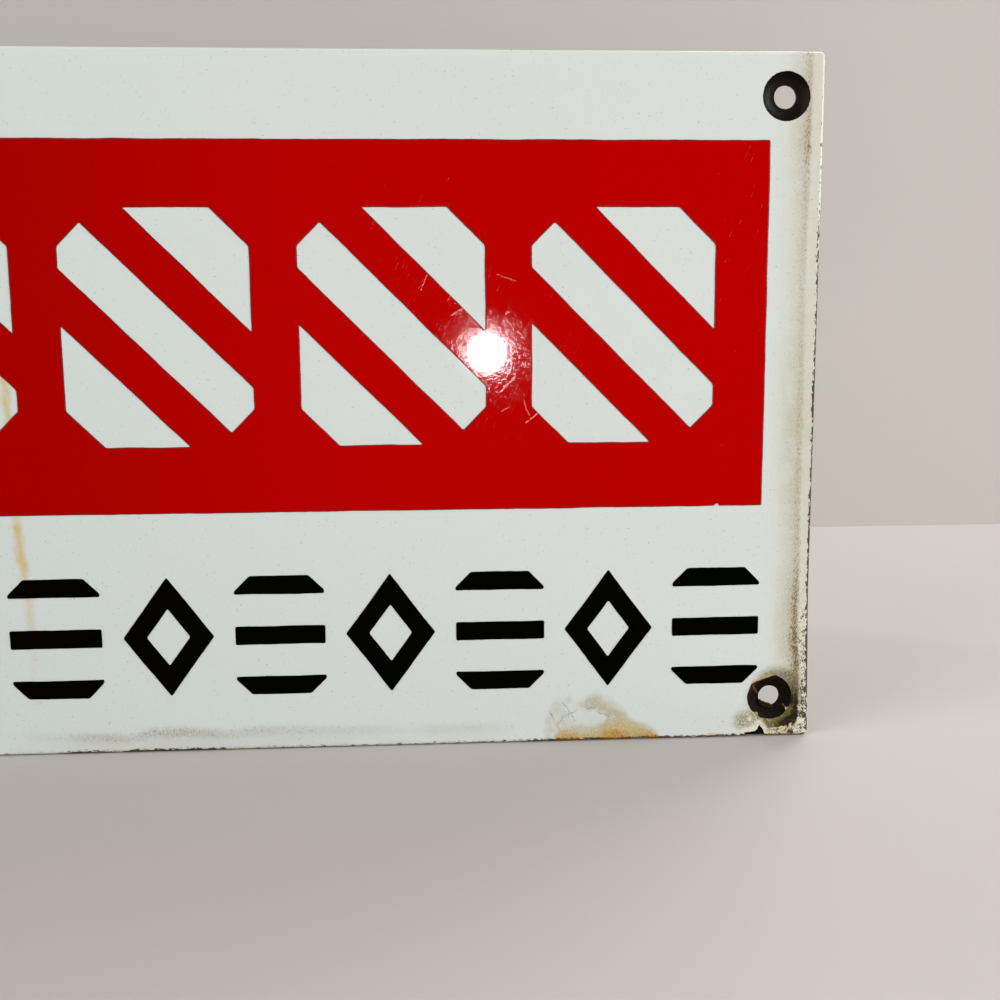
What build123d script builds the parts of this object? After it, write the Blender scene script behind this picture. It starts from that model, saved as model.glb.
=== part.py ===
# Enamelled steel sign: a dark fired sheet, its white coat, a red panel and a row of black marks.
# Millimetres. +X runs along the sign's width, +Z up it, and its face looks towards -Y.
# The origin is the centre of the four fixing holes, on the back of the sheet.

from build123d import *
import os

# The finished outline, measured over the white coat
sign_width = 355.6
sign_height = 160.0
corner_radius = 1.2

# The sheet: sheared steel with its dark ground coat on both sides
sheet_thickness = 1.7
sheet_front_radius = 0.5
sheet_back_radius = 0.4

# The white coat runs over the face and turns a little way back round the edge
white_thickness = 0.25
white_edge_thickness = 0.15
white_edge_radius = 0.6
white_wrap = 1.0

# The red and black coats, stencilled on the white and fired last
colour_thickness = 0.12

# Fixing holes, each punched through the floor of a round dish
hole_diameter = 5.2
hole_inset_side = 8.7
hole_inset_end = 9.7
dish_diameter = 10.6
dish_floor_diameter = 6.8
dish_depth = 0.9
dish_belly = 0.12
dish_bare_rim = 0.2

# Margins between the outline and the red panel
panel_side_margin = 12.1
panel_top_margin = 19.3

# White blocks left open in the red, each cut by two slanting slots
block_count = 6
block_gap = 10.7
block_side_gap = 12.2
block_head_gap = 14.8
block_foot_gap = 15.4
block_corner_cut = 8.5
block_bar = 10.8
block_slot = 9.0
block_slant = -45

# Black marks under the panel, in a row as wide as the panel
mark_count = 13
mark_bars = 3
mark_gap = 4.9
mark_height = 28.6
mark_head_gap = 14.9
mark_foot_gap = 13.5
mark_stroke = 4.4
mark_corner_cut = 3.6

# Lost enamel along the right edge: height of its middle above the lower edge, length, depth
right_chips = [
    (4.9, 1.5, 0.9),
    (113.7, 1.6, 0.75),
    (121.2, 2.1, 0.45),
    (139.7, 1.3, 0.7),
]

# Lost enamel along the lower edge: distance of its middle from the right edge, length, depth
lower_chips = [
    (4.8, 4.6, 0.4),
    (8.5, 1.0, 0.7),
    (20.6, 2.8, 0.45),
    (40.5, 6.0, 0.4),
    (46.0, 3.4, 0.35),
    (52.5, 2.2, 0.35),
]

# The large three-cornered flake: distance from the right edge and height above the lower edge
flake_outline = [
    (14.4, 0.0),
    (14.9, 0.95),
    (13.5, 1.0),
    (12.1, 1.3),
    (11.6, 2.0),
    (11.1, 2.8),
    (10.6, 2.15),
    (10.0, 1.2),
    (9.6, 0.0),
]

# How far a cutting tool runs past the face that it cuts
overrun = 2.0

right_edge = sign_width / 2
lower_edge = -sign_height / 2
panel_width = sign_width - 2 * panel_side_margin
panel_top = sign_height / 2 - panel_top_margin
panel_bottom = lower_edge + mark_foot_gap + mark_height + mark_head_gap
panel_height = panel_top - panel_bottom
block_row_width = panel_width - 2 * block_side_gap
block_width = (block_row_width - (block_count - 1) * block_gap) / block_count
block_height = panel_height - block_head_gap - block_foot_gap
mark_width = (panel_width - (mark_count - 1) * mark_gap) / mark_count
white_front = sheet_thickness + white_thickness
hole_places = [
    (side * (right_edge - hole_inset_side), end * (sign_height / 2 - hole_inset_end))
    for side in (-1, 1)
    for end in (-1, 1)
]


def layer(outline, depth, thickness):
    """A flat layer whose back lies depth in front of the sheet's back."""
    return extrude(Plane.XZ.offset(depth) * outline, amount=thickness)


def at_holes(shape):
    """A copy of a shape at each fixing hole."""
    return [Pos(x, 0, z) * shape for x, z in hole_places]


def row_centres(count, pitch):
    """Places of equal pieces in a row, about its middle."""
    return [(i - (count - 1) / 2) * pitch for i in range(count)]


def dish_and_hole():
    """The tool that punches one hole and coins the dish round it."""
    hole_radius = hole_diameter / 2
    floor_radius = dish_floor_diameter / 2
    rim_radius = dish_diameter / 2
    floor = -(sheet_thickness - dish_depth)
    half_way = ((floor_radius + rim_radius) / 2 + dish_belly, floor - dish_depth / 2 + dish_belly)
    wall = ThreePointArc((floor_radius, floor), half_way, (rim_radius, -sheet_thickness))
    profile = [
        Polyline((0, overrun), (hole_radius, overrun), (hole_radius, floor), (floor_radius, floor)),
        wall,
        Polyline((rim_radius, -sheet_thickness), (rim_radius, -sheet_thickness - overrun),
                 (0, -sheet_thickness - overrun), (0, overrun)),
    ]
    return revolve(make_face(profile), axis=Axis.Y)


def steel_sheet():
    """The steel with its ground coat: rounded edges, four dished holes."""
    width = sign_width - 2 * white_edge_thickness
    height = sign_height - 2 * white_edge_thickness
    outline = RectangleRounded(width, height, corner_radius - white_edge_thickness)
    sheet = layer(outline, 0, sheet_thickness)
    sheet = fillet(sheet.faces().sort_by(Axis.Y)[0].edges(), sheet_front_radius)
    sheet = fillet(sheet.faces().sort_by(Axis.Y)[-1].edges(), sheet_back_radius)
    return sheet - at_holes(dish_and_hole())


def chip(length, depth):
    """A lopsided bite out of an edge that runs along X, with the enamel above it."""
    return Polyline((-length / 2, -overrun), (-length / 2, 0), (-0.3 * length, 0.6 * depth),
                    (0.05 * length, depth), (0.3 * length, 0.7 * depth), (length / 2, 0),
                    (length / 2, -overrun), close=True)


def lost_enamel():
    """Everything that has broken off the white coat's right and lower edges."""
    bites = [
        Pos(right_edge, lower_edge + height) * Rot(0, 0, 90) * make_face(chip(length, depth))
        for height, length, depth in right_chips
    ]
    bites += [
        Pos(right_edge - distance, lower_edge) * make_face(chip(length, depth))
        for distance, length, depth in lower_chips
    ]
    flake = [(right_edge - distance, lower_edge + height) for distance, height in flake_outline]
    below = [(x, lower_edge - overrun) for x in (flake[-1][0], flake[0][0])]
    bites.append(make_face(Polyline(*flake, *below, close=True)))
    return [layer(bite, 0, white_front + overrun) for bite in bites]


def white_coat(sheet):
    """The white enamel: a skin over the sheet's face and the front of its edge."""
    outline = RectangleRounded(sign_width, sign_height, corner_radius)
    coat = layer(outline, sheet_thickness - white_wrap, white_thickness + white_wrap)
    coat = fillet(coat.faces().sort_by(Axis.Y)[0].edges(), white_edge_radius)
    opening = layer(Circle(dish_diameter / 2 + dish_bare_rim), 0, white_front + overrun)
    return coat - sheet - at_holes(opening) - lost_enamel()


def cut_block(width, height, corner_cut):
    """An upright block with its four corners cut off."""
    return chamfer(Rectangle(width, height).vertices(), corner_cut)


def slanted_block():
    """A white block: three slanting bars with two slots between them."""
    reach = block_width + block_height
    pitch = block_bar + block_slot
    slots = [
        Rot(0, 0, block_slant) * Pos(0, level) * Rectangle(reach, block_slot)
        for level in row_centres(2, pitch)
    ]
    return cut_block(block_width, block_height, block_corner_cut) - slots


def red_coat():
    """The red panel, open where the white blocks show through it."""
    panel = Pos(0, panel_top - panel_height / 2) * Rectangle(panel_width, panel_height)
    centre = panel_bottom + block_foot_gap + block_height / 2
    places = row_centres(block_count, block_width + block_gap)
    blocks = [Pos(x, centre) * slanted_block() for x in places]
    return layer(panel - blocks, white_front, colour_thickness)


def barred_mark():
    """A black mark of level bars, the upper and lower ones with cut corners."""
    gap = (mark_height - mark_bars * mark_stroke) / (mark_bars - 1)
    levels = row_centres(mark_bars - 1, mark_stroke + gap)
    gaps = [Pos(0, level) * Rectangle(mark_width + overrun, gap) for level in levels]
    return cut_block(mark_width, mark_height, mark_corner_cut) - gaps


def diamond_mark():
    """A black mark in the shape of an open diamond."""
    corners = [(0, mark_height / 2), (-mark_width / 2, 0), (0, -mark_height / 2), (mark_width / 2, 0)]
    diamond = make_face(Polyline(*corners, close=True))
    return diamond - offset(diamond, -mark_stroke, kind=Kind.INTERSECTION)


def black_coat():
    """The black marks, bars and diamonds by turns along the panel's width."""
    centre = lower_edge + mark_foot_gap + mark_height / 2
    kinds = [barred_mark(), diamond_mark()]
    places = row_centres(mark_count, mark_width + mark_gap)
    marks = [Pos(x, centre) * kinds[i % 2] for i, x in enumerate(places)]
    return Compound([layer(mark, white_front, colour_thickness) for mark in marks])


sheet = steel_sheet()
nodes = {
    "steel_sheet": sheet,
    "white_coat": white_coat(sheet),
    "red_coat": red_coat(),
    "black_coat": black_coat(),
}

os.makedirs("parts", exist_ok=True)
for name, shape in nodes.items():
    export_step(shape, f"parts/{name}.step")
    print(name, len(shape.solids()), "solids,", round(shape.volume, 1), "mm3")
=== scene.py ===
# A worn porcelain enamel sign: the looks of its fired coats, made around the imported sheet.
# Metres, in the part's own frame: +X along the sign, +Z up it, its face towards -Y.

import math

import bmesh
import bpy
from mathutils import Matrix, Vector, geometry, noise


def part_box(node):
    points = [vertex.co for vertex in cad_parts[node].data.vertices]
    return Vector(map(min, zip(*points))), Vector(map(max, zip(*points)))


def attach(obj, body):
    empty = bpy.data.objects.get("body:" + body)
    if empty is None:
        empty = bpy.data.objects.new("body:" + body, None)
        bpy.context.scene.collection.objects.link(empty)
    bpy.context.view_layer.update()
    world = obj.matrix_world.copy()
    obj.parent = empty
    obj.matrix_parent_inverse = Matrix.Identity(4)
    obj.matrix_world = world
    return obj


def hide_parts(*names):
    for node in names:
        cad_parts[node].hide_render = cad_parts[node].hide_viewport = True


# Every draw below is seeded, so each run gives the same sign
noise.seed_set(3)
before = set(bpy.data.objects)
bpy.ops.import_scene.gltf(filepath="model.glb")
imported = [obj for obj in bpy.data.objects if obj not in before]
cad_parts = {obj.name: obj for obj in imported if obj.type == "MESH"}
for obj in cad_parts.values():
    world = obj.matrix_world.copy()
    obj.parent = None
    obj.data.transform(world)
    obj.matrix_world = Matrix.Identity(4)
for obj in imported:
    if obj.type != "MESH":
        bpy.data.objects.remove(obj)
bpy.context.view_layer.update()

# Camera
# It stands where the photograph was taken, 27 cm in front of the sign's right half, and looks a
# little down and to the right.
MM = 0.001
touching = MM / 1000
camera_place = Vector((88.36, -270.56, 18.27)) * MM
camera_turns = (("Z", -3.26), ("X", 81.72), ("Z", -0.364))
lens_data = bpy.data.cameras.new("camera")
lens_data.lens = 41.85
lens_data.sensor_width = 36
lens_data.clip_start = 0.01
camera = bpy.data.objects.new("camera", lens_data)
camera.matrix_world = Matrix.Translation(camera_place)
for axis, angle in camera_turns:
    camera.matrix_world = camera.matrix_world @ Matrix.Rotation(math.radians(angle), 4, axis)
scene = bpy.context.scene
scene.collection.objects.link(camera)
scene.camera = camera

# Steel sheet
# 16 gauge steel, sheared, with its edges rounded over and a dark ground coat fired on both sides.
# A round dish is coined at each corner, and the screw hole is punched through the dish's floor.
sheet_low, sheet_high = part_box("steel_sheet")
sheet_corner = 1.05 * MM
sheet_front_edge = 0.5 * MM
sheet_back_edge = 0.4 * MM
dish_rim = 5.3 * MM
dish_floor = 3.4 * MM
dish_depth = 0.9 * MM
dish_belly = 0.12 * MM
hole_radius = 2.6 * MM
corner_steps = 8
edge_steps = 6
white_low, white_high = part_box("white_coat")
right_edge = white_high.x
lower_edge = white_low.z
hole_side = 8.7 * MM
hole_end = 9.7 * MM
hole_places = [
    Vector((side * (right_edge - hole_side), 0, end * (white_high.z - hole_end)))
    for side in (-1, 1)
    for end in (-1, 1)
]
worn_hole = hole_places[2]
flare_height = 36 * MM
flare_reach = 0.85 * MM
flare_depth = 2 * MM


def piece(name, made):
    """A new object from a bmesh, linked to the scene."""
    mesh = bpy.data.meshes.new(name)
    made.to_mesh(mesh)
    made.free()
    thing = bpy.data.objects.new(name, mesh)
    scene.collection.objects.link(thing)
    return thing


def rounded_slab(low, high, corner, front_edge, back_edge):
    """A plate with round corners, rounded over along its front and back edges."""
    made = bmesh.new()
    bmesh.ops.create_cube(made, size=1)
    bmesh.ops.scale(made, vec=high - low, verts=made.verts)
    bmesh.ops.translate(made, vec=(high + low) / 2, verts=made.verts)
    crossing = [e for e in made.edges if abs(e.verts[0].co.y - e.verts[1].co.y) > MM / 10]
    bmesh.ops.bevel(made, geom=crossing, offset=corner, affect="EDGES", segments=corner_steps,
                    profile=0.5, material=-1, clamp_overlap=False)
    for level, radius in ((low.y, front_edge), (high.y, back_edge)):
        if radius:
            rim = [e for e in made.edges if all(abs(v.co.y - level) < touching for v in e.verts)]
            bmesh.ops.bevel(made, geom=rim, offset=radius, affect="EDGES", segments=edge_steps,
                            profile=0.5, material=-1, clamp_overlap=False)
    return made


def spun(profile, centre, steps=96):
    """A closed solid turned from (radius, depth) points about a line through the sheet."""
    made = bmesh.new()
    points = [made.verts.new((radius, depth, 0)) for radius, depth in profile]
    lines = [made.edges.new(pair) for pair in zip(points, points[1:])]
    bmesh.ops.spin(made, geom=points + lines, cent=(0, 0, 0), axis=(0, 1, 0), angle=math.tau,
                   steps=steps, use_merge=True)
    bmesh.ops.remove_doubles(made, verts=made.verts, dist=touching)
    bmesh.ops.translate(made, vec=centre, verts=made.verts)
    bmesh.ops.recalc_face_normals(made, faces=made.faces)
    return made


def cut(thing, tools):
    """Takes every tool's shape out of a thing, and then the tools away."""
    for tool in tools:
        change = thing.modifiers.new(tool.name, "BOOLEAN")
        change.operation = "DIFFERENCE"
        change.solver = "EXACT"
        change.object = tool
    shapes = bpy.context.evaluated_depsgraph_get()
    mesh = bpy.data.meshes.new_from_object(thing.evaluated_get(shapes))
    thing.modifiers.clear()
    thing.data = mesh
    for tool in tools:
        bpy.data.objects.remove(tool)


def flared(thing):
    """The right edge runs out a little on its way down to the lower corner."""
    made = bmesh.new()
    made.from_mesh(thing.data)
    everything = made.verts[:] + made.edges[:] + made.faces[:]
    bmesh.ops.bisect_plane(made, geom=everything, plane_co=(0, 0, lower_edge + flare_height),
                           plane_no=(0, 0, 1))
    for vert in made.verts:
        height = vert.co.z - lower_edge
        if vert.co.x > right_edge - flare_depth and height < flare_height:
            vert.co.x += flare_reach * (1 - height / flare_height)
    made.to_mesh(thing.data)
    made.free()


def smooth_curves(thing, flattest=0.9995, crease=35):
    """Curved faces are shaded smooth and flat ones stay flat, with a crease between the two."""
    for face in thing.data.polygons:
        face.use_smooth = abs(face.normal.y) < flattest
    thing.data.set_sharp_from_angle(angle=math.radians(crease))


dish_steps = 6
past = 2 * MM
floor_level = sheet_low.y + dish_depth
dish_wall = []
for step in range(dish_steps + 1):
    share = step / dish_steps
    bulge = dish_belly * math.sin(math.pi * share)
    dish_wall.append((dish_floor + (dish_rim - dish_floor) * share + bulge,
                      floor_level - dish_depth * share + bulge))
punch = [(0, past), (hole_radius, past), (hole_radius, floor_level), *dish_wall,
         (dish_rim, sheet_low.y - past), (0, sheet_low.y - past)]
sheet = piece("sheet", rounded_slab(sheet_low, sheet_high, sheet_corner, sheet_front_edge,
                                    sheet_back_edge))
cut(sheet, [piece("punch", spun(punch, place)) for place in hole_places])
flared(sheet)
smooth_curves(sheet)

# Colours over a surface
# Stains, wear and scratches are worked out at each point of the face, in mm from its right and
# lower edges, by sums, products and blends of shader nodes. Noise only makes them uneven.


class Field:
    """A value that changes over a surface. Sums and products of fields add Math nodes."""

    def __init__(self, tree, socket):
        self.tree = tree
        self.socket = socket

    def node(self, kind, settings, inputs, output=0):
        """Any other node: its settings are set first, then its sockets' values and links."""
        made = self.tree.nodes.new(kind)
        for name, value in settings.items():
            if name == "stops":
                stops = made.color_ramp.elements
                for place, shade in value[1:-1]:
                    stops.new(place)
                for stop, (place, shade) in zip(stops, value):
                    stop.position = place
                    stop.color = (shade, shade, shade, 1)
            else:
                setattr(made, name, value)
        for name, value in inputs.items():
            if isinstance(value, Field):
                self.tree.links.new(value.socket, made.inputs[name])
            else:
                made.inputs[name].default_value = value
        return Field(self.tree, made.outputs[output])

    def maths(self, operation, *values):
        return self.node("ShaderNodeMath", {"operation": operation}, dict(enumerate(values)))

    def vector(self, operation, *values, output=0):
        settings = {"operation": operation}
        return self.node("ShaderNodeVectorMath", settings, dict(enumerate(values)), output)

    def __add__(self, other):
        return self.maths("ADD", self, other)

    def __sub__(self, other):
        return self.maths("SUBTRACT", self, other)

    def __rsub__(self, other):
        return self.maths("SUBTRACT", other, self)

    def __mul__(self, other):
        return self.maths("MULTIPLY", self, other)

    def __abs__(self):
        return self.maths("ABSOLUTE", self)

    def most(self, other):
        return self.maths("MAXIMUM", self, other)

    def least(self, other):
        return self.maths("MINIMUM", self, other)

    __radd__ = __add__
    __rmul__ = __mul__


def tone(red, green, blue):
    """A colour as a picture shows it, 0 to 255, turned into light."""
    return tuple(math.pow((c / 255 + 0.055) / 1.055, 2.4) if c > 10 else c / 255 / 12.92
                 for c in (red, green, blue)) + (1,)


def finish(name):
    """A new material, its shader and the place on the face, in mm from the right and lower edges."""
    material = bpy.data.materials.new(name)
    material.use_nodes = True
    shader = material.node_tree.nodes["Principled BSDF"]
    start = Field(material.node_tree, None)
    place = start.node("ShaderNodeTexCoord", {}, {}, "Object")
    across = (right_edge - part(place, 0)) * (1 / MM)
    up = (part(place, 2) - lower_edge) * (1 / MM)
    return material, shader, start.node("ShaderNodeCombineXYZ", {}, {0: across, 1: up})


def part(place, axis):
    """One of a place's numbers. On the face, 0 is mm from the right edge and 1 mm from the lower."""
    return place.node("ShaderNodeSeparateXYZ", {}, {0: place}, axis)


def between(value, none, full):
    """0 where a field is at none, 1 where it is at full, and smooth in between."""
    return value.node("ShaderNodeMapRange", {"interpolation_type": "SMOOTHSTEP"}, {
        "Value": value, "From Min": none, "From Max": full})


def by(value, points):
    """A field that follows another through (value, result) points, in straight runs."""
    first = points[0][0]
    span = points[-1][0] - first
    peak = max(result for at, result in points)
    stops = [((at - first) / span, result / peak) for at, result in points]
    return value.node("ShaderNodeValToRGB", {"stops": stops}, {0: (value - first) * (1 / span)}) * peak


def grain(place, size, detail=2, shift=0, slant=0):
    """Noise about 0.5, in lumps of a size in mm, or of two along a slant in degrees and across it."""
    along, over_it = size if isinstance(size, tuple) else (size, size)
    moved = place.node("ShaderNodeMapping", {"vector_type": "TEXTURE"}, {
        "Vector": place, "Location": (shift, shift, 0), "Rotation": (0, 0, math.radians(-slant)),
        "Scale": (along, over_it, 1)})
    return moved.node("ShaderNodeTexNoise", {"noise_dimensions": "2D"}, {
        "Vector": moved, "Scale": 1, "Detail": detail, "Roughness": 0.55})


def flecks(lumps, amount, soft=0.05):
    """Flecks where noise is high, over about as much of the surface as the amount says."""
    return between(lumps + amount * 0.6, 0.8 - soft, 0.8 + soft)


def mottled(lumps, amount, contrast=2.5):
    """An amount that noise makes patchy, and that stays 0 where it is 0."""
    return amount * (lumps * contrast + (1 - contrast / 2))


def drift(place, size):
    """A push to each side by noise, up to about 1, in lumps of a size in mm."""
    push = place.node("ShaderNodeTexNoise", {"noise_dimensions": "2D"}, {
        "Vector": place, "Scale": 1 / size, "Detail": 2}, "Color")
    return push.vector("MULTIPLY_ADD", push, (4, 4, 0), (-2, -2, 0))


def shifted(place, push, reach):
    """The place, pushed here and there by up to a reach in mm, so that an outline wanders."""
    return push.vector("MULTIPLY_ADD", push, (reach, reach, 0), place)


def spot(face, middle, reach, soft):
    """1 inside a round spot of the face, fading to 0 over a soft rim, all in mm."""
    away = face.vector("DISTANCE", face, (*middle, 0), output="Value")
    return between(away, reach + soft, reach)


def nearest(face, paths):
    """How far a place lies, in mm, from the nearest of some paths over the face."""
    least = None
    for path in paths:
        for (start_across, start_up), (end_across, end_up) in zip(path, path[1:]):
            along = Vector((end_across - start_across, end_up - start_up, 0))
            gone = face.vector("SUBTRACT", face, (start_across, start_up, 0))
            share = gone.vector("DOT_PRODUCT", gone, along / along.length_squared, output="Value")
            held = share.node("ShaderNodeClamp", {}, {"Value": share})
            foot = held.node("ShaderNodeVectorMath", {"operation": "SCALE"}, {0: along, "Scale": held})
            away = gone.vector("DISTANCE", gone, foot, output="Value")
            least = least.least(away) if least else away
    return least


def about(face, hole):
    """The distance from a hole's middle in mm, and the direction from it, 0 to the right and 90 up."""
    middle = ((right_edge - hole.x) / MM, (hole.z - lower_edge) / MM, 0)
    away = face.vector("DISTANCE", face, middle, output="Value")
    gone = face.vector("SUBTRACT", face, middle)
    turned = gone.maths("ARCTAN2", part(gone, 1), part(gone, 0) * -1)
    return away, turned * math.degrees(1)


def over(below, colour, cover):
    """A colour laid over another, as far as it covers."""
    return cover.node("ShaderNodeMix", {"data_type": "RGBA"}, {0: cover, 6: below, 7: colour}, 2)


def set_finish(shader, tree, **values):
    """Puts fields and plain values on a shader's own sockets."""
    for name, value in values.items():
        socket = shader.inputs[name.replace("_", " ")]
        if isinstance(value, Field):
            tree.links.new(value.socket, socket)
        else:
            socket.default_value = value


def relief(height, reach):
    """A surface raised by a field, by up to a reach in mm."""
    return height.node("ShaderNodeBump", {}, {"Height": height, "Distance": reach * MM}, "Normal")


def laid_over(material, cover, kind="ShaderNodeBsdfPrincipled"):
    """One more shader, which takes the place of what the material shows where the cover is 1."""
    tree = material.node_tree
    surface = tree.nodes["Material Output"].inputs["Surface"]
    shown = Field(tree, surface.links[0].from_socket)
    added = cover.node(kind, {}, {})
    seen = cover.node("ShaderNodeMixShader", {}, {0: cover, 1: shown, 2: added})
    tree.links.new(seen.socket, surface)
    return added.socket.node


# The sheet's own colours: the ground coat, browner in the worn dish and rusty at the edges
ground_tone = tone(15, 10, 5)
ground_brown = tone(58, 38, 18)
ground_speck = tone(52, 48, 42)
dish_tone = tone(8, 4, 1)
dish_streak_tone = tone(110, 84, 58)
dish_streaks = [[(13.2, 13.2), (12.2, 11.6)], [(12.6, 12.0), (11.6, 10.6)], [(3.9, 6.2), (5.3, 7.6)]]
dish_brown = [(-180, 0.15), (-120, 0), (30, 0.05), (70, 0.5), (95, 1), (150, 0.8), (180, 0.15)]
ground, shader, face = finish("ground_coat")
away, turned = about(shifted(face, drift(face, 1.2), 0.15), worn_hole)
in_dish = between(away, 6, 5.6)
lumps = grain(face, 0.8, 4)
rust = between(grain(face, 4.5, 4, 7), 0.45, 0.6) * between(part(face, 0).least(part(face, 1)), 7, 1)
rust = rust * (1 - in_dish)
rings = in_dish * (0.5 + 0.5 * away.maths("SINE", away * 9)) * between(lumps, 0.4, 0.6)
streaks = between(nearest(face, dish_streaks), 0.28, 0.05)
brown = in_dish * by(turned, dish_brown) * between(away, 3.9, 5)
brown = mottled(lumps, brown.most(rings * 0.25), 3)
colour = over(ground_tone, dish_tone, in_dish)
colour = over(colour, ground_speck, flecks(grain(face, 0.35), 0.12) * (1 - in_dish) * 0.5)
colour = over(colour, ground_brown, (rust * 0.8).most(brown))
colour = over(colour, dish_streak_tone, streaks * 0.7)
set_finish(shader, ground.node_tree, Base_Color=colour, Roughness=0.45 + 0.3 * rust.most(in_dish),
           Specular_IOR_Level=0.12, Normal=relief(lumps, 0.08))
sheet.data.materials.clear()
sheet.data.materials.append(ground)
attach(sheet, "root")
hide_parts("steel_sheet")

# Rust crust
# Rust that has swollen from the punched edge of the worn hole and fills its lower left side.
crust_chord = 1.85 * MM
crust_direction = math.radians(-114)
crust_low = floor_level - 0.35 * MM
crust_high = floor_level + 0.75 * MM
crust_reach = hole_radius + 0.25 * MM
crust_step = 0.2 * MM
# Sizes of its lumps in mm, with how far they push its surface
crust_lumps = [(0.7, 0.22), (0.3, 0.08)]
crust_tone = tone(18, 11, 6)
crust_brown = tone(58, 36, 18)
made = bmesh.new()
bmesh.ops.create_cone(made, cap_ends=True, segments=72, radius1=crust_reach, radius2=crust_reach,
                      depth=crust_high - crust_low)
bmesh.ops.rotate(made, matrix=Matrix.Rotation(math.radians(90), 3, "X"), verts=made.verts)
bmesh.ops.translate(made, vec=(0, (crust_low + crust_high) / 2, 0), verts=made.verts)
inward = Vector((math.cos(crust_direction), 0, math.sin(crust_direction)))
everything = made.verts[:] + made.edges[:] + made.faces[:]
sliced = bmesh.ops.bisect_plane(made, geom=everything, plane_co=inward * crust_chord, plane_no=inward,
                                clear_inner=True)
rim = [e for e in sliced["geom_cut"] if isinstance(e, bmesh.types.BMEdge)]
bmesh.ops.holes_fill(made, edges=rim, sides=0)
bmesh.ops.triangulate(made, faces=made.faces[:])
while any(e.calc_length() > crust_step for e in made.edges):
    long_edges = [e for e in made.edges if e.calc_length() > crust_step]
    bmesh.ops.subdivide_edges(made, edges=long_edges, cuts=1)
    bmesh.ops.triangulate(made, faces=made.faces[:])
for vert in made.verts:
    pushes = [noise.noise_vector(vert.co / (size * MM)) * reach for size, reach in crust_lumps]
    vert.co += sum(pushes, Vector()) * MM
bmesh.ops.translate(made, vec=worn_hole, verts=made.verts)
bmesh.ops.recalc_face_normals(made, faces=made.faces)
crust = piece("rust_crust", made)
for face_of_crust in crust.data.polygons:
    face_of_crust.use_smooth = True
rusty, shader, face = finish("rust_crust")
lumps = grain(face, 0.4, 4)
colour = over(crust_tone, crust_brown, between(lumps, 0.48, 0.66))
set_finish(shader, rusty.node_tree, Base_Color=colour, Roughness=0.9, Specular_IOR_Level=0.2,
           Normal=relief(lumps, 0.2))
crust.data.materials.append(rusty)
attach(crust, "root")

# White coat
# Opaque white glass over the face and the front of the edge, a quarter of a millimetre thick.
# It stops raggedly round each dish, and it has broken off along the right and lower edges.
white_corner = 1.2 * MM
white_edge = 0.6 * MM
opening_radius = 5.48
opening_jag = 0.1
opening_step = 3
chip_jag = 0.16
flake_jag = 0.14
jag_size = 0.5 * MM
break_step = 0.3 * MM
# Where the worn opening leaves its circle: direction in degrees, spread, and reach in mm
worn_opening = [(76, 9, 0.28), (143, 9, 0.3), (109, 24, -0.5), (-35, 5, -0.75), (231, 6, -0.7),
                (180, 30, 0.18), (0, 34, -0.16)]
right_chips = [(4.9, 1.5, 0.9), (113.7, 1.6, 0.75), (121.2, 2.1, 0.45), (139.7, 1.3, 0.7)]
lower_chips = [(4.8, 4.6, 0.4), (8.5, 1.0, 0.7), (20.6, 2.8, 0.45), (40.5, 6.0, 0.4),
               (46.0, 3.4, 0.35), (52.5, 2.2, 0.35)]
chip_shape = [(-0.5, -2), (-0.5, 0), (-0.3, 0.6), (0.05, 1), (0.3, 0.7), (0.5, 0), (0.5, -2)]
flake = [(14.4, -1), (14.4, 0.0), (14.9, 0.95), (13.5, 1.0), (12.1, 1.3), (11.6, 2.0), (11.1, 2.8),
         (10.6, 2.15), (10.0, 1.2), (9.6, 0.0), (9.6, -1)]


def break_tool(outline, jag):
    """A ragged prism through the coat, from places in mm from the right and lower edges."""
    made = bmesh.new()
    front = white_low.y - past
    rim = [made.verts.new((right_edge - across * MM, front, lower_edge + up * MM))
           for across, up in outline]
    made.faces.new(rim)
    while any(e.calc_length() > break_step for e in made.edges):
        long_edges = [e for e in made.edges if e.calc_length() > break_step]
        bmesh.ops.subdivide_edges(made, edges=long_edges, cuts=1)
    for vert in made.verts:
        push = noise.noise_vector(vert.co / jag_size)
        vert.co += Vector((push.x, 0, push.z)) * jag * MM
    walls = bmesh.ops.extrude_face_region(made, geom=made.faces[:])
    moved = [v for v in walls["geom"] if isinstance(v, bmesh.types.BMVert)]
    bmesh.ops.translate(made, vec=(0, past - front, 0), verts=moved)
    bmesh.ops.recalc_face_normals(made, faces=made.faces)
    return piece("break", made)


def opening(place, bites):
    """The outline of the coat's opening round one dish."""
    outline = []
    for degree in range(0, 360, opening_step):
        reach = opening_radius
        for direction, spread, bite in bites:
            gap = (degree - direction + 180) % 360 - 180
            reach += bite * math.exp(-(gap / spread) ** 2)
        across = (right_edge - place.x) / MM - reach * math.cos(math.radians(degree))
        up = (place.z - lower_edge) / MM + reach * math.sin(math.radians(degree))
        outline.append((across, up))
    return outline


breaks = [break_tool(opening(place, worn_opening if place is worn_hole else []), opening_jag)
          for place in hole_places]
for height, length, depth in right_chips:
    bite = [(up * depth, height + along * length) for along, up in chip_shape]
    breaks.append(break_tool(bite, chip_jag))
for distance, length, depth in lower_chips:
    bite = [(distance + along * length, up * depth) for along, up in chip_shape]
    breaks.append(break_tool(bite, chip_jag))
breaks.append(break_tool(flake, flake_jag))
white_coat = piece("white_enamel", rounded_slab(white_low, white_high, white_corner, white_edge, 0))
inside = piece("inside", rounded_slab(sheet_low, sheet_high, sheet_corner, sheet_front_edge,
                                      sheet_back_edge))
cut(white_coat, [inside, *breaks])
flared(white_coat)
smooth_curves(white_coat)

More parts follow.
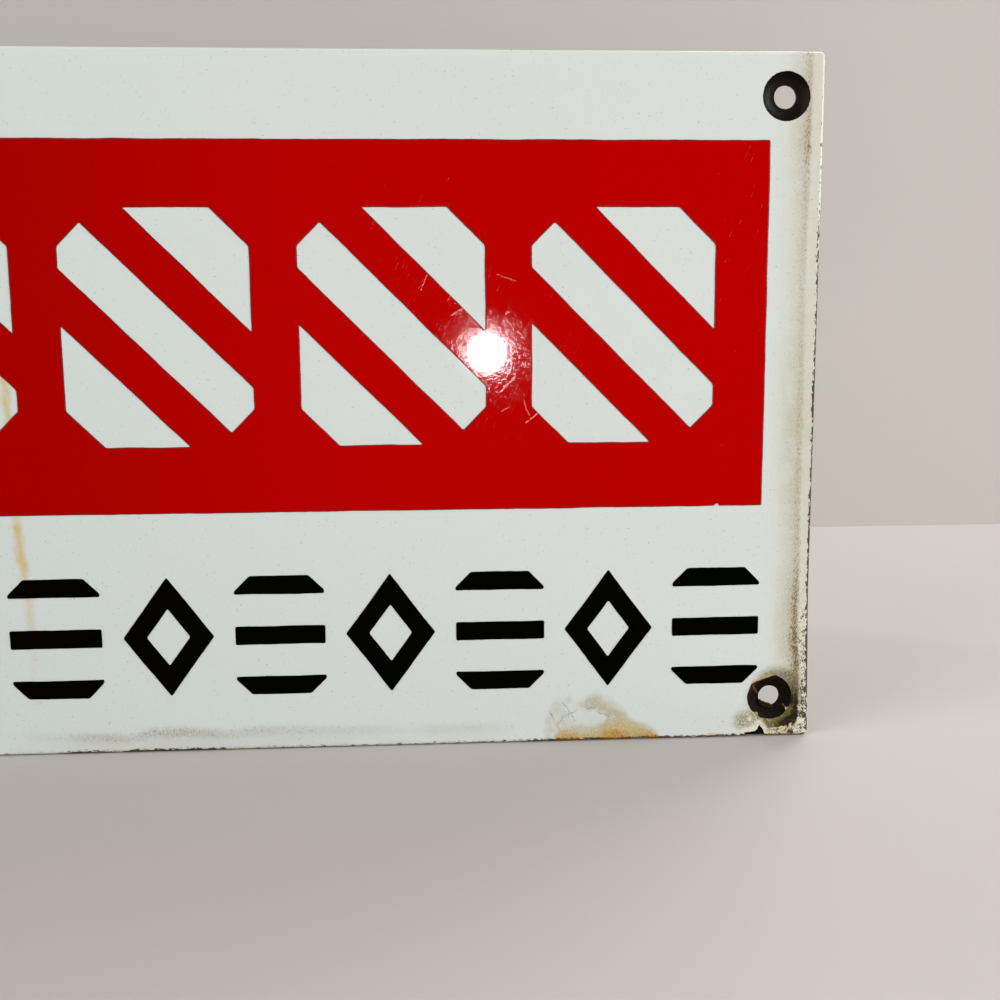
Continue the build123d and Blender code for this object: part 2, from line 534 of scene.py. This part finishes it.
# The white's colours: clean glass, then the dirt and rust that have settled on it and in it, and a
# painted highlight on the broken edge of the worn opening
white_gloss = 0.05
pit_depth = 0.0016
clean_cool = tone(211, 219, 215)
clean_warm = tone(214, 218, 213)
veil_tone = tone(190, 180, 148)
strip_tone = tone(208, 201, 184)
line_tone = tone(146, 128, 82)
dark_line_tone = tone(84, 68, 32)
speck_tone = tone(30, 22, 10)
olive_tone = tone(116, 104, 52)
brown_tone = tone(50, 36, 10)
cream_tone = tone(218, 203, 168)
bare_white_tone = tone(226, 221, 203)
band_tone = tone(165, 156, 136)
dark_band_tone = tone(122, 114, 94)
rust_tone = tone(191, 170, 114)
dark_rust_tone = tone(182, 130, 42)
fan_tone = tone(184, 183, 168)
slope_tone = tone(184, 175, 146)
broken_edge_highlight_tone = tone(178, 150, 112)
low_tone = tone(198, 195, 184)
cloudy_tone = tone(146, 139, 104)
shard_tone = tone(208, 201, 180)
crack_tone = tone(140, 134, 114)
streak_tone = tone(206, 182, 120)
mark_tone = tone(140, 140, 136)
# Distances inward from the dirt line, in mm, with how much dirt lies there
line_spread = [(-0.9, 0), (-0.25, 0.9), (0.4, 1), (1.2, 0.5), (2.6, 0.2), (5.5, 0)]
# Heights above the lower edge, in mm, with the dirt line's distance from the right edge there, and
# then with how strong the line, the veil, the strip and the broken edge are there
line_places = [(0, 2.85), (19, 2.7), (24, 3.2), (34, 3.05), (39, 2.9), (48, 3.0), (58, 3.3), (82, 3.3),
               (110, 3.7), (122, 3.55), (129, 3.45), (137, 3.4), (160, 3.4)]
line_strength = [(0, 0), (11, 0.3), (14, 1), (20, 1.2), (25, 1.2), (29, 0.9), (36, 0.85), (44, 0.5),
                 (70, 0.38), (105, 0.33), (127, 0.4), (134, 0.45), (139, 0.7), (148, 0.6), (160, 0.4)]
veil_strength = [(0, 0.5), (15, 0.75), (30, 0.85), (46, 0.55), (60, 0.8), (75, 1), (90, 0.8), (105, 0.45),
                 (130, 0.55), (145, 0.7), (160, 0.5)]
strip_strength = [(0, 0.8), (50, 0.8), (60, 0.35), (79, 0.35), (88, 1), (160, 1)]
edge_strength = [(0, 0.7), (8, 0.8), (15, 1), (25, 1.1), (31, 0.95), (34, 0.7), (38, 1), (41, 0.9),
                 (43, 1), (46, 0.85), (60, 0.85), (75, 0.8), (82, 1.05), (88, 0.9), (100, 0.72),
                 (122, 0.66), (127, 0.3), (160, 0.2)]
rough_strength = [(0, 0.6), (5, 0.65), (9, 0.65), (11, 0.3), (14, 0.35), (17, 0.75), (29, 0.75),
                  (34, 0.35), (50, 0.08), (160, 0.04)]
# Distances from the right edge, in mm, with what lies at the lower edge there
band_level = [(98, 3.9), (116, 4.1), (128, 4.6), (134, 4.5), (140, 3.7), (149, 4.6), (158, 4.6),
              (163, 3.1), (169, 3.6), (177, 3.8), (185, 4.4), (191, 4.4)]
band_strength = [(70, 0), (80, 0.3), (91, 0.3), (97, 0.12), (105, 0.3), (115, 0.4), (122, 0.5),
                 (134, 0.65), (138, 0.5), (144, 0.85), (152, 1), (158, 0.9), (162, 0.5), (168, 0.75),
                 (173, 0.6), (178, 0.3), (187, 0.12), (191, 0)]
lower_strength = [(0, 0.6), (10, 0.7), (20, 0.95), (23, 0.9), (26, 0.6), (33, 0.8), (36, 0.9), (38, 1.3),
                  (46, 1.3), (48, 0.7), (50, 1.1), (53, 1.1), (55, 0.7), (57, 1.2), (60, 1.2), (63, 0.9),
                  (66, 0.7), (75, 0.4), (114, 0.35), (120, 0.55), (130, 0.45), (140, 0.35), (144, 0.9),
                  (153, 0.9), (163, 0.8), (166, 0.4), (172, 0.85), (177, 0.8), (180, 0.3), (356, 0.2)]
# Directions from the worn hole's middle, 0 to the right and 90 up, with what surrounds it there
halo_reach = [(-180, 6.0), (-150, 6.3), (-125, 7.3), (-105, 8.3), (-83, 8.5), (-64, 9.5), (-49, 9.6),
              (-30, 9.2), (-4, 8.3), (20, 7.8), (47, 8.6), (62, 7.9), (84, 7.2), (110, 6.5), (140, 5.9),
              (180, 6.0)]
halo_strength = [(-180, 0.15), (-150, 0.35), (-125, 0.75), (-100, 1), (-60, 1.1), (-30, 1.1), (0, 1.1),
                 (45, 0.7), (62, 0.65), (84, 0.72), (110, 0.65), (130, 0.4), (150, 0.2), (180, 0.15)]
halo_dark = [(-110, 0), (-90, 0.15), (-76, 0.5), (-62, 1.1), (-35, 1.3), (-8, 1.1), (8, 0.65), (40, 0.25),
             (90, 0.2), (120, 0)]
broken_edge_highlight_strength = [(-180, 0), (60, 0), (84, 0.5), (100, 0.9), (140, 0.9), (150, 0.2), (180, 0)]
# Distances from the right edge, in mm, with the height and strength of the fan of rust there
fan_top = [(35, 0), (36.5, 1.0), (38, 2.4), (40, 4.2), (42.5, 5.8), (46.2, 7.6), (49.9, 9.2), (51, 10.9),
           (52.7, 11.4), (54.7, 10.8), (56.4, 9.9), (58.1, 11.6), (59.5, 10.6), (61.3, 10.4), (62.5, 8.6),
           (63.4, 6), (63.8, 3), (64.2, 0)]
rust_top = [(35.6, 0), (36.4, 1.4), (38, 3.0), (40, 3.9), (42.4, 4.7), (45.2, 5.2), (48, 4.4), (51, 3.2),
            (54.4, 2.9), (57, 3.7), (59.4, 3.4), (60.6, 2.0), (61.2, 0)]
rust_depth = [(35.6, 1), (38.5, 1), (40, 0.6), (42.4, 0.25), (44.4, 0.7), (45.4, 1), (48, 1), (49.8, 0.4),
              (52, 0.1), (55.4, 0.25), (56.4, 0.8), (58.6, 0.8), (60, 0.3), (61.2, 0.2)]
fan_strength = [(35, 0.5), (45, 0.7), (50, 0.8), (54, 0.7), (57, 0.5), (60, 0.4), (64.2, 0.4)]
# Paths over the face, each point in mm from the right edge and up from the lower edge
fan_slope = [[(51.2, 9.8), (48.6, 8.0), (45.6, 5.6)]]
fan_clear = [[(57.2, 8.0), (55.2, 6.0), (50.6, 5.4)]]
cracks = [[(59.3, 9.6), (57.4, 6.9), (56.4, 4.9)], [(55.9, 7.7), (57.4, 6.9), (59.1, 5.9), (60.3, 4.8)],
          [(54.9, 8.7), (53.4, 8.1), (51.4, 8.1)], [(50.9, 7.1), (48.2, 6.0)], [(62.6, 7.7), (61.3, 5.3)]]
rusted_crack = [[(60.3, 4.8), (60.8, 3.8), (59.8, 2.8)]]
shard_lines = [[(13.1, 6.9), (11.6, 3.6), (9.9, 0.2)], [(15.0, 6.1), (11.7, 3.3)],
               [(13.6, 5.2), (12.3, 4.4)]]
flake_rim = [[(15.3, 0.2), (14.9, 1.2), (12.6, 1.4), (11.1, 3.2), (9.8, 0.9)]]
cream_band = [[(8.6, 1.1), (6.0, 1.3), (3.4, 1.9)]]
corner_path = [[(0.3, 13.0), (-0.1, 9.5), (0.3, 4.0), (1.0, 1.2), (2.2, 0.6)]]
upper_streak = [[(185.9, 97), (185.7, 87), (184.9, 76)]]
lower_streak = [[(185.1, 57), (184.6, 46), (183.6, 38), (183.2, 24), (183.1, 13)]]
grey_scratches = [[(166.4, 7.7), (167.1, 6.9)]]
# Heights above the lower edge, in mm, with the streak's strength and the edge's run outward there
lower_streak_strength = [(9, 0), (12, 0.35), (14, 0.1), (22, 0.15), (34, 0.5), (44, 1), (54, 0.95),
                         (57, 0.5), (60, 0)]
flare_run = [(0, flare_reach / MM), (flare_height / MM, 0), (170, 0)]

white, shader, face = finish("white_enamel")
small_drift = drift(face, 1.1)
near = shifted(face, small_drift, 0.22)
far = shifted(near, drift(face, 7), 0.5)
from_foot = part(near, 1)
from_right = part(near, 0) + by(from_foot, flare_run)
cloud = grain(face, 5, 3, 2)
fine = grain(face, 0.42, 3, 9)
grit = grain(face, 0.28, 2, 27)
patches = grain(face, 1.5, 3, 51)
hair = grain(face, (0.8, 0.24), 3, 5, 60)
slivers = grain(face, (0.75, 0.26), 2, 17, 130)
level_dashes = grain(face, (1.4, 0.3), 2, 11)
upright_dashes = grain(face, (1.2, 0.3), 2, 13, 90)
cell_kind = {"feature": "DISTANCE_TO_EDGE", "voronoi_dimensions": "2D"}
cells = face.node("ShaderNodeTexVoronoi", cell_kind, {"Vector": near, "Scale": 1.7})

# The veil and the line of dirt down the right side, with the paler strip outside it
off_line = from_right - by(from_foot, line_places)
clean = over(clean_cool, clean_warm, between(from_right, 190, 20) * 0.6)
veil = between(from_right, 12.5, 4) * by(from_foot, veil_strength)
veil = veil * (0.6 + 0.4 * between(cloud, 0.28, 0.6))
colour = over(clean, veil_tone, mottled(fine, veil * 0.6, 1))
strip = between(off_line, 0.1, -0.7) * by(from_foot, strip_strength)
strip = strip * (0.6 + 0.4 * between(cloud, 0.25, 0.7))
colour = over(colour, strip_tone, mottled(fine, strip * 0.4, 1.5))
line_amount = by(off_line, line_spread) * by(from_foot, line_strength)
colour = over(colour, line_tone, mottled(hair, line_amount * 0.85, 3.5))
colour = over(colour, dark_line_tone, flecks(hair, line_amount * 0.5, 0.08) * 0.7)

# The halo round the worn hole, olive above and nearly black towards the corner
away, turned = about(near, worn_hole)
off_halo = away - by(turned, halo_reach)
halo = between(off_halo, 1.6, -1.6) * by(turned, halo_strength)
colour = over(colour, olive_tone, mottled(hair, halo, 2.2))
dark_halo = between(off_halo, 0.9, -1.6) * by(turned, halo_dark)
dark_halo = dark_halo * (1 - 0.7 * between(away, 7.2, 5.9) * between(turned, -8, -30))
colour = over(colour, brown_tone, mottled(slivers, mottled(patches, dark_halo, 1.4), 2.2))
colour = over(colour, speck_tone, flecks(slivers, dark_halo * 0.62, 0.03) * 0.9)
colour = over(colour, olive_tone, flecks(grit, dark_halo * 0.2, 0.05) * 0.6)
# Painted highlight: a thin tan line round the upper left of the opening, the broken edge of the coat
# drawn as if lit
rim = between(away, 5.95, 5.6) * by(turned, broken_edge_highlight_strength)
colour = over(colour, broken_edge_highlight_tone, mottled(patches, rim, 1.5))
cloudy = spot(near, (15.0, 3.9), 0.8, 3.0).most(spot(near, (12.2, 4.9), 0.4, 2.0))
colour = over(colour, cloudy_tone, mottled(fine, cloudy * 0.75, 3))

# The shattered corner: pale splinters with dark cracks between them, and cream flakes
ragged = shifted(face, small_drift, 0.45)
shattered = between(off_line, -0.2, -0.9) * by(from_foot, rough_strength)
corner = between(nearest(ragged, corner_path), 1.5, 1.1)
shattered = shattered.most(corner)
splinters = between(cells, 0.03, 0.16)
pale = spot(near, (1.0, 1.4), 0.8, 1.6).most(corner)
pale = pale.most(between(nearest(near, flake_rim), 1.5, 0.4)).most(spot(near, (13.7, 4.3), 0.3, 0.4))
pale = mottled(slivers, pale.most(shattered * 0.8), 0.9) * (0.6 + 0.4 * splinters)
colour = over(colour, bare_white_tone, pale)
cream_patch = between(nearest(ragged, cream_band), 1.7, 0.4)
cream = cream_patch.most(spot(near, (4.9, 7.0), 0.3, 0.3)).most(spot(near, (11.9, 6.1), 0.15, 0.3))
colour = over(colour, cream_tone, flecks(grain(face, 0.75, 3, 61), cream * 0.62, 0.03))
cream_cracks = cream_patch * between(cells, 0.12, 0.04) * between(slivers, 0.45, 0.55)
colour = over(colour, brown_tone, cream_cracks * 0.8)
clustered = shattered * between(patches, 0.25, 0.65)
cracked = flecks(slivers, clustered * 0.62, 0.03)
cracked = cracked.most(clustered * between(cells, 0.09, 0.03) * between(fine, 0.48, 0.56))
near_right = mottled(patches, between(from_right, 1.1, 0.15) * by(from_foot, edge_strength), 1.2)
near_foot = mottled(patches, between(from_foot, 1.1, 0.15) * by(from_right, lower_strength), 1)
nicks = flecks(upright_dashes, near_right, 0.04).most(flecks(level_dashes, near_foot, 0.04))
nicks = nicks.most(cracked).most(spot(near, (0.2, 4.7), 0.4, 0.2)) * 0.92
colour = over(colour, brown_tone, mottled(fine, spot(near, (3.6, 1.0), 0.3, 0.7), 2) * 0.8)
colour = over(colour, shard_tone, between(nearest(near, shard_lines), 0.2, 0.05) * 0.85)

# The dirty band along the foot
band = by(from_right, band_strength) * between(abs(from_foot - by(from_right, band_level)), 2.0, 0.1)
below_band = by(from_right, band_strength) * between(from_foot, 5.5, 3)
colour = over(colour, low_tone, below_band * 0.55)
colour = over(colour, band_tone, mottled(hair, band * 0.5, 4))
colour = over(colour, dark_band_tone, flecks(hair, band * 0.3, 0.06) * 0.6)

# The fan of rust that has crept out of the foot, and the crazed glass within it
fan_foot = part(far, 1)
fan = between(by(part(far, 0), fan_top) - fan_foot, -0.8, 1.8)
clear = between(nearest(far, fan_clear), 0.9, 2.6)
across_fan = part(far, 0)
fan = fan * (0.2 + 0.8 * clear) * by(across_fan, fan_strength)
colour = over(colour, fan_tone, mottled(patches, mottled(fine, fan, 1.4), 2.2))
slope = between(nearest(far, fan_slope), 3.4, 0)
colour = over(colour, slope_tone, mottled(patches, mottled(fine, slope * 0.65, 1.6), 1))
rust = between(by(across_fan, rust_top) - fan_foot, -1.2, 1.8)
colour = over(colour, rust_tone, mottled(patches, mottled(fine, rust * 0.85, 2.4), 0.4))
deep = rust * by(across_fan, rust_depth) * between(fan_foot, 2.8, 0.8)
colour = over(colour, dark_rust_tone, mottled(fine, deep * 0.85, 2.4))
crazed = between(nearest(near, cracks), 0.19, 0.03) * between(hair, 0.3, 0.5)
colour = over(colour, crack_tone, crazed * 0.7)
colour = over(colour, rust_tone, between(nearest(near, rusted_crack), 0.5, 0.05) * 0.6)

# Rust that has run down the face, and scratches that hold dirt
runs = between(nearest(far, upper_streak), 1.9, 0)
runs = runs.most(between(nearest(far, lower_streak), 1.8, 0) * by(from_foot, lower_streak_strength))
colour = over(colour, streak_tone, mottled(cloud, runs * 0.75, 1.5))
colour = over(colour, mark_tone, between(nearest(near, grey_scratches), 0.17, 0.03) * 0.7)
dirt = line_amount.most(halo).most(shattered).most(band * 0.6).most(deep)
dirt = dirt.most(between(from_right, 1.2, 0.4))
matt = between(dirt, 0.15, 0.8)
pits = between(grain(face, (1.6, 0.3), 1, 41, 50), 0.62, 0.8)
glaze = relief(pits, pit_depth)
set_finish(shader, white.node_tree, Base_Color=clean, Roughness=white_gloss, Normal=glaze)
# The stains cover only the right side, the foot and a strip where rust has run
foot_strip = between(part(face, 1), 13.5, 13) * between(part(face, 0), 192, 191)
stained = between(part(face, 0), 15, 14.5).most(foot_strip)
stained = stained.most(between(abs(part(face, 0) - 184.7), 4, 3.5))
worn = laid_over(white, stained)
set_finish(worn, white.node_tree, Base_Color=colour, Roughness=white_gloss + 0.25 * matt, Normal=glaze)
bare = laid_over(white, nicks)
bare_tone = over(speck_tone, dark_rust_tone, (deep * 0.4).most(fine * 0.08))
set_finish(bare, white.node_tree, Base_Color=bare_tone, Roughness=0.9, Specular_IOR_Level=0)
white_coat.data.materials.clear()
white_coat.data.materials.append(white)
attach(white_coat, "root")
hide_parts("white_coat")

# Red and black coats
# Coloured glass laid on the white through a stencil and fired last. Its corners are a little
# round and its edges a little unsteady, and it stands proud by its own thickness, with a
# shoulder that slopes down to the edge.
coat_rounding = 0.38 * MM
coat_step = 1.0 * MM
coat_fall = 0.04 * MM
red_shoulder = 0.24 * MM
black_shoulder = 0.08 * MM
coat_gloss = 0.035
black_pit_depth = 0.0025
red_tone = tone(180, 1, 0)
# Painted shade: the red runs darker towards the left, where less light falls
far_red_shade_tone = tone(158, 3, 0)
red_rim_shade_tone = tone(92, 2, 2)
scratch_and_glint_tone = tone(238, 178, 164)
black_tone = tone(3, 3, 1)
far_black_tone = tone(4, 3, 1)
# Lengths of the waves in their edges, with how far they push them
slow_wave, slow_reach = 7 * MM, 0.11 * MM
quick_wave, quick_reach = 1.3 * MM, 0.05 * MM
# Scratches and nicks in the red, in mm from the right and lower edges. The scratches crowd round the
# lamp's highlight, and their pale tone is partly wear and partly a painted glint.
bright_scratches = [[(70.4, 87.8), (73.9, 84.3)], [(82.2, 103.5), (85.0, 101.8)],
                    [(64.9, 79.6), (68.1, 77.1)]]
fine_scratches = [[(89.9, 112.0), (91.8, 107.6)], [(84.6, 112.0), (86.2, 108.3)],
                  [(83.9, 107.9), (85.9, 105.0)], [(77.9, 111.9), (79.2, 110.3)],
                  [(80.3, 110.4), (82.2, 106.5)], [(81.5, 104.9), (82.5, 104.5)],
                  [(84.4, 85.8), (82.4, 83.5)], [(73.7, 79.9), (71.9, 80.8)],
                  [(65.9, 97.7), (65.4, 92.3)]]
faint_scratches = [[(74.4, 110.9), (70.3, 109.5)], [(68.4, 82.4), (68.0, 80.6), (67.2, 78.9)]]
red_nicks = [((65.1, 140.6), 0.55), ((22.95, 56.9), 0.5)]
scratched = [[(92, 110), (70, 92)]]


def filled(outline, depth):
    """The flat regions inside an outline's loops, in triangles. A loop inside another is a hole."""
    outline.verts.index_update()
    places = [Vector((vert.co.x, vert.co.z)) / MM for vert in outline.verts]
    lines = [[vert.index for vert in line.verts] for line in outline.edges]
    outline.free()
    inside_only = 1
    same_place = 0.0001
    places, lines, triangles, _, sources, _ = geometry.delaunay_2d_cdt(
        places, lines, [], inside_only, same_place)
    made = bmesh.new()
    corners = [made.verts.new((place.x * MM, depth, place.y * MM)) for place in places]
    for triangle in triangles:
        made.faces.new([corners[i] for i in triangle])
    drawn = {made.edges.get([corners[i] for i in line]) for line, source in zip(lines, sources) if source}
    waiting = [(edge.link_faces[0], True) for edge in made.edges if len(edge.link_faces) == 1]
    inside = {}
    while waiting:
        face, kept = waiting.pop()
        if face in inside:
            continue
        inside[face] = kept
        for edge in face.edges:
            beyond = [other for other in edge.link_faces if other is not face]
            waiting += [(other, kept != (edge in drawn)) for other in beyond]
    bmesh.ops.delete(made, geom=[face for face in made.faces if not inside[face]], context="FACES")
    bmesh.ops.recalc_face_normals(made, faces=made.faces)
    return made


def stencilled(node, name, shoulder):
    """A coat on its packed outline, with rounded corners, unsteady edges and a sloping shoulder."""
    low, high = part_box(node)
    made = bmesh.new()
    made.from_mesh(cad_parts[node].data)
    bmesh.ops.remove_doubles(made, verts=made.verts, dist=touching)
    behind = [f for f in made.faces if f.normal.y > -0.9]
    bmesh.ops.delete(made, geom=behind, context="FACES")
    seams = [e for e in made.edges if len(e.link_faces) == 2]
    bmesh.ops.delete(made, geom=seams, context="EDGES_FACES")
    bmesh.ops.delete(made, geom=made.faces[:], context="FACES_ONLY")
    bmesh.ops.bevel(made, geom=made.verts[:], offset=coat_rounding, affect="VERTICES", segments=4,
                    profile=0.5, material=-1)
    for cuts in range(int((high.x - low.x) / coat_step), 0, -1):
        lines = [e for e in made.edges if int(e.calc_length() / coat_step) == cuts]
        if lines:
            bmesh.ops.subdivide_edges(made, edges=lines, cuts=cuts)
    for vert in made.verts:
        flat = Vector((vert.co.x, 0, vert.co.z))
        slow = noise.noise_vector(flat / slow_wave) * slow_reach
        quick = noise.noise_vector(flat / quick_wave) * quick_reach
        vert.co = Vector((vert.co.x + slow.x + quick.x, high.y, vert.co.z + slow.z + quick.z))
    made = filled(made, high.y)
    walls = bmesh.ops.extrude_face_region(made, geom=made.faces[:])
    raised = [v for v in walls["geom"] if isinstance(v, bmesh.types.BMVert)]
    bmesh.ops.translate(made, vec=(0, low.y - high.y, 0), verts=raised)
    bmesh.ops.recalc_face_normals(made, faces=made.faces)
    front = [f for f in made.faces if f.normal.y < -0.9]
    rim = bmesh.ops.inset_region(made, faces=front, use_boundary=True, use_even_offset=False,
                                 thickness=shoulder)
    inner = {v for f in front for v in f.verts}
    outer = {v for f in rim["faces"] for v in f.verts} - inner
    bmesh.ops.translate(made, vec=(0, coat_fall, 0), verts=list(outer))
    return piece(name, made)


def coat_finish(node, name, shoulder, first, second):
    """A coloured coat with its material: two shades of one colour and a fine rubbed surface."""
    coat = stencilled(node, name, shoulder)
    material, shader, face = finish(name)
    # Towards the left the colour runs to the second tone. In the red this is painted shade, darker where
    # the light falls off.
    colour = over(first, second, between(part(face, 0), 90, 240))
    pits = [between(grain(face, (1.3, 0.24), 1, 41 + slant, slant), 0.56, 0.8) for slant in (15, 75, 135)]
    pits = pits[0].most(pits[1]).most(pits[2])
    coat.data.materials.clear()
    coat.data.materials.append(material)
    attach(coat, "root")
    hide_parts(node)
    return material, shader, face, colour, pits


red, shader, face, clean, pits = coat_finish("red_coat", "red_enamel", red_shoulder, red_tone,
                                             far_red_shade_tone)
# Painted shade: the red is darker on the sloping shoulder round each edge, picked out by the tilt of its
# faces
facing = part(face.node("ShaderNodeNewGeometry", {}, {}, "True Normal"), 1)
rim = between(facing, -0.998, -0.99)
clean = over(clean, red_rim_shade_tone, rim * 0.8)
broken = between(grain(face, 0.5, 2, 31), 0.3, 0.6)
near = shifted(face, drift(face, 0.8), 0.1)
# Pale scratches: real wear, and partly a painted glint, gathered round the lamp's highlight
scratch_and_glint = between(nearest(near, bright_scratches), 0.22, 0.06) * 0.8
scratch_and_glint = scratch_and_glint.most(between(nearest(near, fine_scratches), 0.15, 0.03) * 0.6)
scratch_and_glint = scratch_and_glint.most(between(nearest(near, faint_scratches), 0.18, 0.03) * 0.35) * broken
scratch_and_glint_patch = between(nearest(face, scratched), 22, 4)
slanting = flecks(grain(face, (8, 0.22), 2, 37, 66), scratch_and_glint_patch * 0.12, 0.04)
scratch_and_glint = scratch_and_glint.most(slanting * between(grain(face, 0.5, 2, 39), 0.4, 0.6) * 0.3)
colour = over(clean, scratch_and_glint_tone, scratch_and_glint)
for middle, size in red_nicks:
    colour = over(colour, clean_cool, spot(near, middle, size, 0.12))
glaze = relief(pits, pit_depth)
set_finish(shader, red.node_tree, Base_Color=clean, Roughness=coat_gloss + 0.4 * rim, Normal=glaze)
worn = laid_over(red, between(nearest(face, scratched), 24, 23).most(between(part(face, 0), 24.5, 24)))
rough = coat_gloss + 0.4 * scratch_and_glint.most(rim)
set_finish(worn, red.node_tree, Base_Color=colour, Roughness=rough, Normal=glaze)
black, shader, face, colour, pits = coat_finish("black_coat", "black_enamel", black_shoulder, black_tone,
                                                far_black_tone)
set_finish(shader, black.node_tree, Base_Color=colour, Roughness=coat_gloss,
           Normal=relief(pits, black_pit_depth))

# Floor and backdrop
# A plain pale table top under the sign, and a plain wall 30 cm behind it, which is clear from
# behind so that the sign's back can be looked at too.
floor_gap = 0.2 * MM
wall_distance = 295 * MM
floor_size = 3.0
backdrop = bmesh.new()
bmesh.ops.create_grid(backdrop, x_segments=1, y_segments=1, size=floor_size)
bmesh.ops.translate(backdrop, vec=(0, 0, lower_edge - floor_gap), verts=backdrop.verts)
floor = piece("floor", backdrop)
backdrop = bmesh.new()
bmesh.ops.create_grid(backdrop, x_segments=1, y_segments=1, size=floor_size)
bmesh.ops.rotate(backdrop, matrix=Matrix.Rotation(math.radians(90), 3, "X"), verts=backdrop.verts)
bmesh.ops.translate(backdrop, vec=(0, wall_distance, floor_size + lower_edge - floor_gap),
                    verts=backdrop.verts)
wall = piece("wall", backdrop)
for thing, shade in ((floor, tone(190, 184, 180)), (wall, tone(192, 186, 181))):
    material, shader, face = finish(thing.name)
    set_finish(shader, material.node_tree, Base_Color=shade, Roughness=0.9, Specular_IOR_Level=0.1)
    thing.data.materials.append(material)
    thing.visible_glossy = False
wall.visible_shadow = False
behind = face.node("ShaderNodeNewGeometry", {}, {}, "Backfacing")
laid_over(material, behind, "ShaderNodeBsdfTransparent")

# Light
# Large soft lamps stand outside what the face mirrors towards the camera. A small one behind the
# sign lights the table beside it, and a small dim round one by the camera makes the highlight.


def lamp(name, place, aim, size, power):
    """A square soft lamp that looks at a point."""
    data = bpy.data.lights.new(name, "AREA")
    data.size = size
    data.energy = power
    made = bpy.data.objects.new(name, data)
    made.location = place
    made.rotation_euler = (Vector(aim) - Vector(place)).to_track_quat("-Z", "Y").to_euler()
    made.visible_camera = False
    scene.collection.objects.link(made)
    return made


face_centre = (0.09, 0, 0)
# Each lamp's place, the point that it looks at, its side in metres and its power in watts
lamp("left_lamp", (-1.4, -1.0, 1.0), face_centre, 1.4, 23)
lamp("right_lamp", (1.65, -0.95, 0.6), face_centre, 1.0, 33)
lamp("back_lamp", (0.8, 0.9, 1.0), face_centre, 0.8, 13)
lamp("floor_fill", (0.225, 0.045, 0.07), (0.21, 0.055, -0.08), 0.12, 0.04)
flash = lamp("flash", (0.1134, -0.2706, 0.0083), (0.1134, 0, 0.0083), 0.0175, 0.065)
flash.data.shape = "DISK"

# The room is pale all round but for the dark in front of the face, where the camera stands
room_light = 0.26
world = bpy.data.worlds.new("world")
world.use_nodes = True
scene.world = world
sky = world.node_tree.nodes["Background"]
start = Field(world.node_tree, None)
way = start.node("ShaderNodeTexCoord", {}, {}, "Generated")
lit = between(part(way, 1), -0.85, -0.3) * room_light
camera_ray = start.node("ShaderNodeLightPath", {}, {}, "Is Camera Ray")
seen = over(lit, tone(201, 193, 187), camera_ray)
world.node_tree.links.new(seen.socket, sky.inputs["Color"])

scene.view_settings.view_transform = "Standard"
